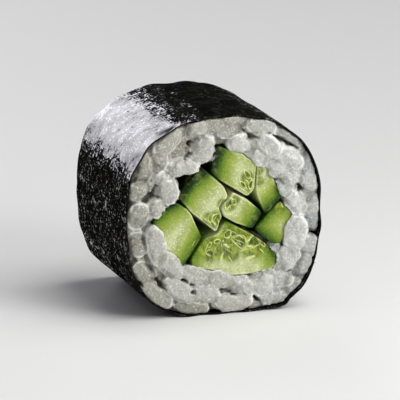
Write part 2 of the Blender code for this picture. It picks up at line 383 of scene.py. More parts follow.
def noriSheet():
    # outside radius = frame's inside radius + thickness + lap's lift + lumps, over (turn travelled, y)
    end = turn + nori["lap"]
    travelled, share = np.meshgrid(
        np.linspace(0, end, nori["around"]), np.linspace(0, 1, nori["along"]), indexing="ij")
    y = frontY + rollLength * share
    angle = nori["startAngle"] + travelled
    lift = (nori["thickness"] + nori["lapGap"]) * smoothStep(travelled, turn - nori["liftRamp"], turn)
    thinning = 1 - nori["tailThinning"] * smoothStep(travelled, end - nori["tailTaper"], end)
    gloss = sheetGloss(angle)
    lumps = grainLumps(travelled, y) * nori["grainHeight"] * (1 - (1 - nori["glossyLumps"]) * gloss)
    wrinkles = sheetWaves(travelled, y, nori["wrinkleSpacing"], 40, 1, stretch=1.3) * nori["wrinkle"]
    relief = lumps + wrinkles - nori["grainSink"]
    inner = noriInsideAt(angle, y) + lift + nori["clear"]
    outer = inner + nori["thickness"] * thinning + relief
    inner = inner + nori["innerRelief"] * relief * thinning
    # the cut edges wander a little
    wander = nori["edgeWander"] * sheetWaves(travelled, 0 * y, nori["edgeSpacing"], 8, 3)
    y = y + wander * (np.abs(share - 0.5) * 2) ** 20
    layers = []
    for radius, lowest in ((outer, 0.0), (inner, nori["thickness"])):
        spot = unit(angle) * radius[..., None]
        z = np.maximum(axisZ + spot[..., 1], lowest)
        layers.append(np.stack([axisX + spot[..., 0], y, z], axis=-1))
    return newPiece("nori_sheet", np.stack(layers), sheetQuads(*angle.shape), values={
        "arc": np.stack([travelled, travelled]) * noriRadius / mm, "gloss": np.stack([gloss, gloss])})


def noriMaterial():
    # near-black sheet under a wet coat, which patches, creases and specks break up
    s = Shader("nori_glossy", Specular_IOR_Level=0.0, Coat_Roughness=0.1)
    here = s.place()
    y = s.node("ShaderNodeSeparateXYZ", sockets=[here], output="Y")
    flat = s.node("ShaderNodeCombineXYZ", sockets=[s.value("arc") * mm, y * 0.4, 0.0])
    along = s.node("ShaderNodeCombineXYZ", sockets=[s.value("arc") * mm * 0.3, y * 0.7, 0.0])
    cloudy = s.noise(here, 2.6 * mm, detail=5)
    fibre = s.noise(here, 0.28 * mm, detail=4, roughness=0.65)
    specks = s.noise(flat, 0.3 * mm, detail=2, roughness=0.6)
    pits = s.noise(flat, 0.7 * mm, detail=4, roughness=0.7)
    patches = s.noise(flat, 2.2 * mm, detail=5, roughness=0.6)
    creases = s.noise(along, 0.4 * mm, detail=3, distortion=0.3)
    sheet = s.mix(cloudy.between(0.4, 0.7), nori["dark"], nori["brown"])
    colour = s.mix(fibre.between(0.55, 0.8) * 0.5, sheet, nori["fibre"])
    # the coat is nearly whole over the glossy stretch, broken at its edges, and small wet spots elsewhere
    grain = (specks - 0.5) * 2.6 + (pits - 0.5) * 2.4
    edge = y.between(frontY + 1.5 * mm, frontY + 0.2 * mm)
    cover = s.value("gloss") * 1.7 + (patches - 0.5) * 3.6 - (creases - 0.5) * 3.2 + grain + edge * 0.3
    shine = 0.006 + 0.86 * cover.between(0.5, 1.1)
    wet = patches + grain - (creases - 0.5) * 1.6 + edge * 0.12
    shine = (shine + 0.45 * wet.between(0.68, 1.0)) * (0.8 + 0.4 * fibre)
    bump = s.bump(fibre, 0.03 * mm, 0.5)
    return s.finish(Base_Color=colour, Roughness=0.3 + 0.3 * fibre, Coat_Weight=shine, Normal=bump)


finishPiece(noriSheet(), noriMaterial(), "nori", "nori")
print("nori made")


rice = dict(
    # cooked grains, and how blunt their tips and girth are, where 1 would be an ellipsoid
    length=(5.4 * mm, 6.6 * mm), width=(2.9 * mm, 3.6 * mm), flatness=(0.85, 1.0),
    tipBlunt=0.86, girthBlunt=0.78, taper=0.14, bend=0.13, threeSided=0.05, twoSided=0.04,
    lump=0.13 * mm, lumpSpacing=2.4 * mm, crumb=0.075 * mm, crumbSpacing=0.95 * mm,
    # the knife's cut: how far under a grain's top, how askew, how soft its edge is, and its scuffs
    cutAway=(0.35 * mm, 0.9 * mm), askew=0.06, soft=0.14 * mm, scuff=0.03 * mm, scuffSpacing=0.8 * mm,
    topPower=2.3, topFull=0.93,  # a grain's top, read as a superellipse of this power, this full
    # packed grains lie round the roll, strayed from that by so much; some are steep, the rest lean a bit,
    # and packing is the radius, as a share of a grain's width, that its neighbours keep out of
    grains=44, layers=2, layerStep=1.35 * mm, proud=(0.25 * mm, 0.75 * mm),
    strayed=0.7, steepShare=0.22, steep=(0.8, 1.3), lean=0.22, packing=0.46,
    # how they stick together, and the one skin that they are melted into
    stick=0.12 * mm, stickMost=0.45 * mm, voxel=0.18 * mm, grit=0.02 * mm, gritSpacing=0.7 * mm,
    # rings and sides of a grain, at a face and deeper, and steps round a plain ring
    frontMesh=(34, 40), deepMesh=(14, 16), ringSteps=240,
    # room beside the sticks, and the plain plate behind a face's grains
    besideSticks=0.3 * mm, sticksEasing=8, plateInset=(0.3 * mm, 0.1 * mm), plateDepth=(2.1 * mm, 3.6 * mm),
    # the core: its room beside the nori, beside the sticks at the front and further in, and its profile
    coreInset=0.25 * mm, coreWide=0.3 * mm, coreTight=0.4 * mm, coreEasing=4, coreDepth=3.4 * mm,
    coreWideTo=7.5 * mm, coreTightFrom=9 * mm, coreShoulder=6 * mm,
    # painted shade darkens a face from this far in and over this depth, and a face is stained and painted
    # darker this near the nori
    paintedShadeFrom=0.5 * mm, paintedShadeOver=1.8 * mm, stainAndShadeNear=3.2 * mm,
    # colours: milky grains, glassy ones from the left in warm painted shade to the right in cool painted
    # light, and what lies over both: more painted shade at the left, flecks, stain and painted shade near
    # the nori, painted light at rims, painted shade in creases and deep down
    milky=(0.50, 0.51, 0.48), milkiest=(0.74, 0.75, 0.72),
    # painted light and shade: glassy grains are warmer and darker at the left, in painted shade, and cooler
    # and paler at the right, in painted light; the warm tint on the next line is more painted shade at the
    # left
    glassPaintedShade=(0.27, 0.265, 0.20), glassPaintedLight=(0.36, 0.38, 0.41), glassPale=(0.47, 0.48, 0.45),
    # near the nori the grains take a colour that is real stain and painted shade together
    paintedLeftShade=(0.37, 0.355, 0.265), fleck=(0.90, 0.90, 0.87), dull=(0.38, 0.38, 0.34), stainAndShade=(0.34, 0.32, 0.24),
    # painted light for the rims of the grains' tops, and painted shade for the creases between grains and
    # for deep down behind the face
    rim=(0.97, 0.97, 0.94), crease=(0.30, 0.29, 0.22), deep=(0.13, 0.12, 0.07),
    # listed grains: level of one that isn't sunk, and how much larger each is made than it shows
    listedLevel=0.5 * mm, listedLong=1.05, listedWide=1.08, listedLeast=5.8 * mm,
    # voids beside the sticks: direction and half width in degrees, and depth
    frontVoids=((139, 17, 1.9 * mm), (166, 10, 1.1 * mm), (106, 8, 1.0 * mm), (-63, 9, 0.5 * mm)),
    backVoids=((35, 14, 1.1 * mm), (-118, 10, 0.8 * mm)),
    # holes between the front grains: how deep, and x, z from the roll's axis, heading, length and width,
    # in millimetres and degrees
    holeDepth=1.8 * mm,
    frontHoles=(
        (4.8, 13.0, 10, 1.6, 0.9), (10.4, 11.8, -31, 4.6, 0.6), (-5.7, 12.4, 60, 1.2, 0.7),
        (-6.1, 10.4, 45, 1.4, 0.6), (-12.0, 4.8, 70, 1.6, 0.6), (13.4, 3.6, 40, 1.0, 0.8),
        (15.7, -4.5, -15, 1.8, 0.5), (11.6, -10.5, 20, 1.0, 0.5), (5.9, -14.8, -40, 2.3, 0.5),
        (1.6, -13.6, 0, 1.0, 0.4), (-5.5, -12.6, -20, 0.9, 0.5), (-7.0, -10.4, -30, 1.6, 0.4),
        (-10.9, -10.9, -45, 1.8, 0.8), (-14.4, -10.6, -50, 1.2, 0.5)),
    # the front grains, likewise: x, z, heading, the length and width that show, and how far each is sunk
    frontGrains=(
        (-7.2, 8.5, 5, 6.4, 3.3, 0.0), (-10.0, 5.3, -72, 6.2, 3.8, 0.1), (-11.6, 1.9, 20, 3.7, 3.5, 0.2),
        (-14.7, 0.8, 82, 4.9, 3.7, 0.4), (-14.2, 4.9, 5, 4.9, 3.4, 0.4), (-13.9, 7.7, 50, 4.6, 3.3, 0.7),
        (-11.3, 9.6, 60, 4.4, 3.2, 0.5), (-13.0, 11.0, 52, 4.6, 2.8, 0.9),
        (-9.6, 12.9, 40, 6.4, 3.5, 0.4), (-7.4, 14.6, 30, 4.6, 3.0, 0.7), (-7.4, 11.4, 70, 4.2, 3.0, 1.3),
        (-3.7, 11.3, 62, 5.6, 4.3, 0.0), (-4.7, 14.4, 84, 4.4, 3.3, 0.2), (-1.8, 15.2, 8, 5.4, 3.1, 0.4),
        (1.0, 14.2, 2, 5.0, 2.7, 0.5), (2.4, 16.0, -4, 5.2, 2.8, 0.6), (3.2, 11.8, -8, 5.4, 3.3, 0.0),
        (6.4, 14.7, -18, 5.6, 3.2, 0.3), (7.1, 11.4, -38, 6.4, 3.5, 0.1),
        (11.3, 12.3, -36, 6.4, 3.2, 0.7), (8.4, 16.0, -24, 4.6, 2.6, 0.9),
        (11.5, 8.7, -40, 5.8, 3.7, 0.0), (14.9, 8.1, -76, 4.8, 2.8, 0.7), (11.8, 5.3, -22, 5.0, 3.7, 0.1),
        (15.1, 4.0, -70, 5.0, 3.4, 0.4), (12.5, 1.4, -60, 5.4, 3.8, 0.1), (15.5, 0.9, 84, 4.8, 3.2, 0.5),
        (12.4, -4.1, 84, 6.8, 4.2, 0.0), (15.6, -2.0, -80, 5.4, 3.0, 0.7),
        (15.0, -6.7, 78, 4.8, 3.4, 0.3), (11.1, -8.2, 58, 5.4, 3.8, 0.1),
        (13.9, -10.1, 64, 5.0, 3.3, 0.5), (6.9, -12.0, 80, 5.2, 4.2, 0.0),
        (10.2, -11.6, -4, 4.8, 3.4, 0.2), (11.8, -13.3, 20, 4.4, 3.2, 0.7),
        (8.3, -14.4, 10, 4.4, 3.2, 0.3), (1.5, -14.9, 2, 6.8, 3.6, 0.1), (3.0, -12.1, -22, 5.4, 3.3, 0.1),
        (5.4, -15.6, 8, 4.2, 2.2, 1.6), (-0.3, -10.9, -10, 5.4, 3.1, 0.1),
        (-14.6, -4.0, -82, 4.8, 3.4, 0.7), (-11.6, -4.5, -78, 7.2, 3.3, 0.0),
        (-9.2, -7.9, -46, 6.2, 3.4, 0.0), (-14.2, -7.0, 60, 4.2, 3.2, 1.2),
        (-13.7, -8.9, -38, 5.0, 3.4, 0.6), (-11.7, -12.7, -42, 6.8, 3.4, 0.4),
        (-7.7, -12.1, -30, 6.6, 3.4, 0.0), (-4.8, -9.9, -14, 6.2, 3.0, 0.2),
        (-3.6, -13.2, -8, 5.6, 3.2, 0.1), (-5.6, -15.2, -12, 5.8, 2.8, 0.7),
        (-10.4, -10.3, -45, 4.4, 2.8, 1.5), (-9.0, -14.4, -20, 4.2, 2.6, 1.6),
        (10.9, -15.3, 12, 4.4, 2.8, 0.6), (14.2, -12.6, 52, 4.8, 3.2, 0.5),
        (5.4, 9.7, -34, 5.0, 2.8, 0.1), (8.5, 7.7, -46, 4.8, 2.8, 0.1), (10.2, 4.4, -68, 4.2, 2.4, 0.1),
        (9.0, -6.9, 60, 3.0, 2.2, 0.9)))


def stickReach():
    # how far out the sticks reach in each direction: the first wall met on the way in from outside
    outside = 20 * mm
    start = (axisX, axisZ) + unit(sectionAngles) * outside
    reach = np.zeros(sectionSteps)
    for name in stickNames:
        tree = treeOf(name)
        for i, (spot, inward) in enumerate(zip(start, -unit(sectionAngles))):
            hit = tree.ray_cast(Vector((spot[0], 0, spot[1])), Vector((inward[0], 0, inward[1])))[3]
            if hit is not None:
                reach[i] = max(reach[i], outside - hit)
    return reach


bundle = stickReach()


def openRoom(voids):
    # the ring of rice's inside radius: the sticks' reach plus the gaps and voids beside them
    radius = aroundMean(bundle, rice["sticksEasing"]) + rice["besideSticks"]
    for direction, halfWidth, depth in voids:
        off = turnedFrom(sectionAngles, math.radians(direction))
        radius = radius + depth * np.exp(-((off / math.radians(halfWidth)) ** 2))
    return radius


def listedGrains(table, seed):
    # listed grains; one that shows shorter than a grain's length stands tilted out of the face
    rng = np.random.default_rng(seed)
    x, z, degrees, long, wide, sunk = np.array(table).T
    count = len(table)
    long, wide = long * rice["listedLong"], wide * rice["listedWide"]
    width = wide * mm
    length = np.maximum(long * mm, rice["listedLeast"])
    shortened = (long - wide) * mm / (length - width)
    return dict(
        centre=np.column_stack([x, z]) * mm, heading=np.radians(degrees), length=length, width=width,
        tilt=np.arccos(np.minimum(shortened, 1)) * rng.choice([-1, 1], count),
        level=rice["listedLevel"] - sunk * mm, cut=rng.uniform(*rice["cutAway"], count),
        glassy=np.clip(sunk * 1.7 + rng.uniform(-0.1, 0.25, count), 0, 1))  # sunk grains look glassier


def packedGrains(count, outer, inner, seed, rounds=200):
    # lays grains in the ring between two outlines, each as three discs in a row, and pushes them apart
    rng = np.random.default_rng(seed)
    index = np.arange(count)
    angle = index * math.pi * (3 - math.sqrt(5)) + seed
    share = np.sqrt((index + 0.5) / count)
    centre = unit(angle) * (readRing(inner, angle) * (1 - share) + readRing(outer, angle) * share)[:, None]
    heading = angle + math.pi / 2 + rng.normal(0, rice["strayed"], count)
    length = rng.uniform(*rice["length"], count)
    width = rng.uniform(*rice["width"], count)
    steep = rng.random(count) < rice["steepShare"]
    tilt = np.where(steep, rng.uniform(*rice["steep"], count), rng.normal(0, rice["lean"], count))
    shown = width + (length - width) * np.cos(tilt)
    disc = np.repeat(width * rice["packing"], 3)
    same = np.repeat(index, 3)[:, None] == np.repeat(index, 3)[None, :]
    nudge, leastArm = 0.3, 0.4 * mm
    arms = np.array([-1, 0, 1])[None, :, None]
    for _ in range(rounds):
        arm = unit(heading)[:, None] * ((shown - width) / 2)[:, None, None] * arms
        spot = (centre[:, None] + arm).reshape(-1, 2)
        apart = spot[:, None] - spot[None, :]
        distance = np.linalg.norm(apart, axis=-1) + 1e-9
        squeeze = np.where(same, 0, np.maximum(disc[:, None] + disc[None, :] - distance, 0))
        push = (apart / distance[..., None] * squeeze[..., None]).sum(axis=1)
        around = np.arctan2(spot[:, 1], spot[:, 0])
        radius = np.hypot(spot[:, 0], spot[:, 1])
        tooFar = np.maximum(radius + disc - readRing(outer, around), 0)
        tooNear = np.maximum(readRing(inner, around) + disc - radius, 0)
        push = (push + unit(around) * (tooNear - tooFar)[:, None]).reshape(-1, 3, 2)
        centre = centre + nudge * push.mean(axis=1)
        twist = (arm[..., 0] * push[..., 1] - arm[..., 1] * push[..., 0]).sum(axis=1)
        heading = heading + nudge * twist / ((arm ** 2).sum(axis=(1, 2)) + leastArm ** 2)
    return dict(
        centre=centre, heading=heading, length=length, width=width, tilt=tilt,
        level=rng.uniform(*rice["proud"], count), cut=rng.uniform(*rice["cutAway"], count),
        glassy=rng.random(count))


def grainShapes(grains, meshSize, seed):
    # blunt ellipsoids over (ring, side), bent, lumped and turned; x and y lie in the face, z is depth
    rng = np.random.default_rng(seed)
    count = len(grains["heading"])

    def vary(low, high):
        return rng.uniform(low, high, count)[:, None, None]

    rings, sides = meshSize
    ring = np.linspace(0, math.pi, rings + 2)[None, 1:-1, None]
    side = np.arange(sides)[None, None, :] * (turn / sides)
    along = np.sign(np.cos(ring)) * np.abs(np.cos(ring)) ** rice["tipBlunt"]
    girth = np.sin(ring) ** rice["girthBlunt"] * (1 + vary(-rice["taper"], rice["taper"]) * along)
    threeSided = rice["threeSided"] * np.cos(3 * side + vary(0, turn))
    twoSided = rice["twoSided"] * np.cos(2 * side + 3 * along + vary(0, turn))
    girth = girth * (1 + threeSided + twoSided)
    half, thick = (grains[key][:, None, None] / 2 for key in ("length", "width"))
    x = half * along + 0 * side
    y = thick * girth * np.cos(side) + vary(-rice["bend"], rice["bend"]) * half * (along ** 2 - 0.4)
    z = thick * girth * np.sin(side) * vary(*rice["flatness"])
    local = np.stack([x, y, z], axis=-1)
    tips = np.stack([local[:, 0].mean(axis=1), local[:, -1].mean(axis=1)], axis=1)
    tips[..., 0] = half[:, 0] * np.array([1, -1])
    points = np.concatenate([tips[:, :1], local.reshape(count, -1, 3), tips[:, 1:]], axis=1)
    outward = points / np.maximum(np.linalg.norm(points, axis=2, keepdims=True), 1e-9)
    shift = rng.uniform(-1, 1, (count, 1, 3)) * 40 * mm  # so that no two grains have the same lumps
    lumps = waves(points + shift, rice["lumpSpacing"], 12, seed + 1) * rice["lump"]
    crumbs = waves(points + shift, rice["crumbSpacing"], 30, seed + 2) * rice["crumb"]
    points = points + outward * (lumps + crumbs)[..., None]
    # roll about its own length, tilt out of the face, then head
    turns = (((1, 2), rng.uniform(0, turn, count)), ((0, 2), grains["tilt"]), ((0, 1), grains["heading"]))
    for (first, second), angle in turns:
        cosine, sine = np.cos(angle)[:, None], np.sin(angle)[:, None]
        points[..., first], points[..., second] = (
            points[..., first] * cosine - points[..., second] * sine,
            points[..., first] * sine + points[..., second] * cosine)
    # the foremost point of each stands at the grain's level, cut off there by the knife, a little askew
    askew = (points[..., :2] * rng.normal(0, rice["askew"], (count, 1, 2))).sum(axis=-1)
    level = grains["level"][:, None] + askew
    height = points[..., 2] - points[..., 2].max(axis=1, keepdims=True) + grains["level"][:, None]
    height = softMin(height + grains["cut"][:, None], level, rice["soft"])
    scuffs = waves(points + shift, rice["scuffSpacing"], 30, seed + 3) * rice["scuff"]
    points[..., :2] += grains["centre"][:, None]
    points[..., 2] = height + scuffs + stickyLift(grains, points[..., :2], height)
    return points


def grainTop(grains, i, spot):
    # one grain's top over spots (x, z): whether it is there at all, and its height above the face
    heading, level = grains["heading"][i], grains["level"][i]
    along, across = unit(heading), unit(heading + math.pi / 2)
    width = grains["width"][i]
    shown = width + (grains["length"][i] - width) * math.cos(grains["tilt"][i])
    away = spot - grains["centre"][i]
    oval = np.abs(away @ along / (shown / 2)) ** rice["topPower"]
    oval = oval + np.abs(away @ across / (width / 2)) ** rice["topPower"]
    dome = np.sqrt(np.clip(1 - oval, 0, 1)) * rice["topFull"] * width / 2
    return oval < 1, softMin(
        level + grains["cut"][i] - rice["topFull"] * width / 2 + dome, level, rice["soft"])


def stickyLift(grains, spot, height):
    # cooked grains stick together: each crease between two tops is filled a little,
    # by s ln(1 + e^(-|own height - neighbour's height| / s))
    lift = np.zeros(height.shape)
    for i in range(len(grains["heading"])):
        there, top = grainTop(grains, i, spot)
        fill = rice["stick"] * np.log1p(np.exp(-np.abs(height - top) / rice["stick"]))
        fill[i] = 0
        lift += np.where(there, fill, 0)
    return np.minimum(lift, rice["stickMost"])


def grainMarks(grains, spot):
    # for each spot (x, z): how glassy its grain is, the rim of its top, where painted light goes, and the
    # crease beside the next, where painted shade goes
    nowhere = -4 * mm
    best, second = np.full((2, len(spot)), nowhere)
    drop, glassy = np.full((2, len(spot)), 0.5)
    for i in range(len(grains["heading"])):
        there, top = grainTop(grains, i, spot)
        top = np.where(there, top, nowhere)
        ahead = top > best
        second = np.where(ahead, best, np.maximum(second, top))
        best = np.where(ahead, top, best)
        drop = np.where(ahead, (grains["level"][i] - top) / mm, drop)
        glassy = np.where(ahead, grains["glassy"][i], glassy)
    rim = smoothStep(drop, 0.06, 0.22) * (1 - smoothStep(drop, 0.7, 1.1))
    crease = 1 - smoothStep((best - second) / mm, 0.0, 0.2)
    return glassy, rim * (1 - crease), crease


def grainFaces(count, meshSize, start):
    # quads between a grain's rings and a fan round each tip, repeated for all grains
    rings, sides = meshSize
    perGrain = rings * sides + 2
    quads = gridQuads(rings, sides, wrapColumns=True) + 1
    first = 1 + np.arange(sides)
    last = first + (rings - 1) * sides
    fans = np.concatenate([
        np.stack([np.zeros(sides, int), np.roll(first, -1), first], axis=-1),
        np.stack([np.full(sides, perGrain - 1), last, np.roll(last, -1)], axis=-1)])
    shift = (start + np.arange(count) * perGrain)[:, None, None]
    return (quads[None] + shift).reshape(-1, 4), (fans[None] + shift).reshape(-1, 3)


def fused(points, quads, triangles):
    # overlapping closed shapes melted into one skin, as points, their normals and quads
    rough = newPiece("rough", points, quads, triangles)
    rough.modifiers.new("melt", "REMESH").voxel_size = rice["voxel"]
    skin = rough.evaluated_get(bpy.context.evaluated_depsgraph_get()).to_mesh()
    points, normals = np.empty((2, len(skin.vertices) * 3), np.float32)
    skin.vertices.foreach_get("co", points)
    skin.vertices.foreach_get("normal", normals)
    quads = np.empty(len(skin.loops), np.int32)
    skin.loops.foreach_get("vertex_index", quads)
    mesh = rough.data
    bpy.data.objects.remove(rough)
    bpy.data.meshes.remove(mesh)
    return points.reshape(-1, 3).astype(float), normals.reshape(-1, 3), quads.reshape(-1, 4)


def ringPoints(steps, radius, depth):
    # a circle of points (x, y, z) at radii for each step and one depth
    spot = unit(steps) * radius[:, None]
    return np.column_stack([spot[:, 0], np.full(len(steps), depth), spot[:, 1]])


def backingRing(inner, outer, near, far):
    # a plain ring behind the grains, as points and quads over (angle, corner)
    steps = np.arange(rice["ringSteps"]) * (turn / rice["ringSteps"])
    corners = [ringPoints(steps, readRing(wall, steps), depth) for wall, depth in (
        (outer, near), (inner, near), (inner, far), (outer, far))]
    return np.stack(corners, axis=1).reshape(-1, 3), gridQuads(rice["ringSteps"], 4, True, True)


def polar(points):
    # angle round the roll's axis, and distance from it, of points that are counted from the axis
    return np.arctan2(points[:, 2], points[:, 0]), np.hypot(points[:, 0], points[:, 2])


def besideSticks(points):
    # grains pushed out of the room that the sticks take up
    angle, radius = polar(points)
    reach = readRing(bundle, angle) + 0.15 * mm
    points[:, [0, 2]] *= (-softMin(-radius, -reach, 0.06 * mm) / radius)[:, None]
    return points


def overSticks(points, endY):
    # where a grain of the front face reaches past a stick's side, it lies on the stick's face
    overlap, lie = 0.3 * mm, 0.25 * mm
    spot = points[:, [0, 2]] + (axisX, axisZ)
    for stick in sticks.values():
        away = spot - stick["middle"]
        reach = readRing(stick["radius"], np.arctan2(away[:, 1], away[:, 0])) + overlap
        face = endPlane(stick["front"], spot) - endY - lie
        inside = np.hypot(away[:, 0], away[:, 1]) < reach
        points[:, 1] = np.where(inside, np.minimum(points[:, 1], face), points[:, 1])
    return points


def againstNori(points, outerWall):
    # points pressed softly against the nori's inside wall
    angle, radius = polar(points)
    points[:, [0, 2]] *= (softMin(radius, readRing(outerWall, angle), 0.03 * mm) / radius)[:, None]
    return points


def openHoles(points, holes, facing, seed):
    # each hole presses the face in, inside an oval with a ragged edge
    ragged = 0.3 * waves(points, 0.8 * mm, 20, seed)
    for x, z, degrees, long, wide in holes:
        away = points[:, [0, 2]] - np.array([x, z]) * mm
        along, across = unit(np.radians(degrees)), unit(np.radians(degrees + 90))
        oval = np.hypot(away @ along / (long / 2 * mm), away @ across / (wide / 2 * mm)) + ragged
        points[:, 1] += facing * rice["holeDepth"] * (1 - smoothStep(oval, 0.6, 1.3))
    return points


def riceFace(name, endY, facing, seed, voids, listed=None, holes=()):
    # layers of grains behind a cut face, stuck together; facing is 1 at the front, where deeper is +Y
    outerWall = noriInsideAt(sectionAngles, np.full(sectionSteps, endY))
    inner = openRoom(voids)
    near, far = (facing * depth for depth in rice["plateDepth"])
    plate, plateQuads = backingRing(
        inner + rice["plateInset"][0], outerWall - rice["plateInset"][1], near, far)
    points, quads, fans, start = [plate], [plateQuads[:, ::facing]], [], len(plate)
    for layer in range(rice["layers"]):
        byHand = layer == 0 and listed
        if byHand:
            grains = listedGrains(listed, seed)
        else:
            grains = packedGrains(rice["grains"], outerWall, inner, seed + 10 * layer)
            grains["level"] -= layer * rice["layerStep"]
        if layer == 0:
            topGrains = grains
        meshSize = rice["frontMesh"] if layer == 0 else rice["deepMesh"]
        placed = grainShapes(grains, meshSize, seed + 3 * layer)
        x, z, height = np.moveaxis(placed, -1, 0)
        placed = np.stack([x, -facing * height, z], axis=-1).reshape(-1, 3)
        placed = overSticks(placed, endY) if byHand else besideSticks(placed)
        newQuads, newFans = grainFaces(len(grains["heading"]), meshSize, start)
        points.append(placed)
        quads.append(newQuads[:, ::facing])
        fans.append(newFans[:, ::facing])
        start += len(placed)
    points = againstNori(np.concatenate(points), outerWall)
    points, normals, quads = fused(points, np.concatenate(quads), np.concatenate(fans))
    points += normals * (waves(points, rice["gritSpacing"], 40, seed) * rice["grit"])[:, None]
    glassy, rim, crease = grainMarks(topGrains, points[:, [0, 2]])
    points = openHoles(points, holes, facing, seed + 4)
    angle, radius = polar(points)
    wall = readRing(outerWall, angle)
    # near the nori wall: real stain together with painted shade
    nearNori = smoothStep(radius, wall - rice["stainAndShadeNear"], wall)
    # painted shade, darker the deeper a point lies behind the face
    deep = np.clip((facing * points[:, 1] - rice["paintedShadeFrom"]) / rice["paintedShadeOver"], 0, 1)
    # painted light and shade across the face: 0 at the left, in warm painted shade, to 1 at the right, in
    # cool painted light
    cool = smoothStep(points[:, 0], -4 * mm, 12 * mm)  # the grains look warmer towards the left
    print(name, len(quads) * 2, "triangles")
    return newPiece(name, points + (axisX, endY, axisZ), quads, values={
        "nearNori": nearNori, "deep": deep, "glassy": glassy, "rim": rim, "crease": crease, "cool": cool})


def riceCore():
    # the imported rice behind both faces: a closed ring over (angle, place along its profile)
    steps = np.arange(rice["ringSteps"]) * (turn / rice["ringSteps"])
    outer = noriInsideAt(steps, np.zeros(len(steps))) - rice["coreInset"]
    tight = readRing(aroundMean(bundle, rice["coreEasing"]), steps) + rice["coreTight"]
    wide = readRing(openRoom(rice["frontVoids"]), steps) + rice["coreWide"]
    frontEnd, backEnd = frontY + rice["coreDepth"], backY - rice["coreDepth"]
    frontShoulder, backShoulder = frontY + rice["coreShoulder"], backY - rice["coreShoulder"]
    shares = np.linspace(0, 1, 16)
    profile = [(outer * (1 - share) + wide * share, frontEnd) for share in shares]
    profile += [
        (wide, frontY + rice["coreWideTo"]), (tight, frontY + rice["coreTightFrom"]), (tight, backShoulder)]
    backStart = len(profile)
    profile += [(outer * (1 - share) + tight * share, backEnd) for share in shares[::-1]]
    profile += [(outer, backShoulder), (outer, frontShoulder)]
    grid = np.stack([ringPoints(steps, radius, y) for radius, y in profile], axis=1) + (axisX, 0, axisZ)
    bumps = np.abs(waves(grid, 3.0 * mm, 20, 31)) * 0.5 * mm
    atFront, atBack = slice(0, len(shares)), slice(backStart, backStart + len(shares))
    grid[:, atFront, 1] += bumps[:, atFront]
    grid[:, atBack, 1] -= bumps[:, atBack]
    # the core lies wholly in painted shade
    plain = dict(nearNori=0.3, deep=1.0, glassy=0.5, rim=0.0, crease=0.0, cool=0.5)
    return newPiece("rice_core", grid, gridQuads(len(steps), len(profile), True, True), values={
        key: np.full(grid.shape[:2], number) for key, number in plain.items()})


def riceMaterial():
    # milky or glassy grains with painted light at their rims, stain and painted shade near the nori,
    # painted shade in creases and deep between them, and painted shade at the left with cooler painted
    # light at the right
    s = Shader("rice_cooked", IOR=1.4, Subsurface_Weight=0.8, Subsurface_Radius=(1.0, 0.97, 0.88),
               Subsurface_Scale=1.1 * mm, Coat_Roughness=0.12)
    here = s.place()
    mottle = s.noise(here, 1.3 * mm, detail=5, roughness=0.6)
    fine = s.noise(here, 0.36 * mm, detail=4, roughness=0.65)
    milky = s.mix(mottle.between(0.3, 0.7), rice["milky"], rice["milkiest"])
    # painted shade and light: glassy grains warm and dark at the left, cool and pale at the right
    tint = s.mix(s.value("cool"), rice["glassPaintedShade"], rice["glassPaintedLight"])
    glass = s.mix(mottle.between(0.25, 0.75), tint, rice["glassPale"])
    body = s.mix(s.value("glassy"), milky, glass)
    # more warm painted shade towards the left
    paintedLeftShade = (1 - s.value("cool")) * mottle.between(0.25, 0.7) * 0.5
    body = s.mix(paintedLeftShade, body, rice["paintedLeftShade"])
    body = s.mix(fine.between(0.50, 0.66) * 0.6, body, rice["fleck"])
    body = s.mix(fine.between(0.48, 0.34) * 0.25, body, rice["dull"])
    # stain and painted shade near the nori
    stainAndShade = s.value("nearNori") * mottle.between(0.35, 0.7) * 0.5
    body = s.mix(stainAndShade, body, rice["stainAndShade"])
    # painted light: the rims of the grains' tops are painted pale
    paintedRimLight = s.value("rim") * (0.1 + mottle * 0.6 + fine * 0.6)
    body = s.mix(paintedRimLight, body, rice["rim"])
    # painted shade in the creases between grains
    paintedCreaseShade = s.value("crease") * mottle.between(0.3, 0.6) * 0.7
    body = s.mix(paintedCreaseShade, body, rice["crease"])
    # painted shade deep behind the face
    colour = s.mix(s.value("deep") * 0.9, body, rice["deep"])
    bump = s.bump(mottle, 0.12 * mm, 0.3)
    bump = s.bump(fine, 0.18 * mm, 0.9, bump)
    return s.finish(Base_Color=colour, Roughness=0.1 + 0.28 * fine, Coat_Weight=0.5, Normal=bump)


riceLook = riceMaterial()
finishPiece(riceCore(), riceLook, "rice", "rice")
riceFaces = (
    riceFace("rice_front", frontY, 1, 5, rice["frontVoids"], rice["frontGrains"], rice["frontHoles"]),
    riceFace("rice_back", backY, -1, 71, rice["backVoids"]))
for face in riceFaces:
    finishPiece(face, riceLook, "rice")
print("rice made")


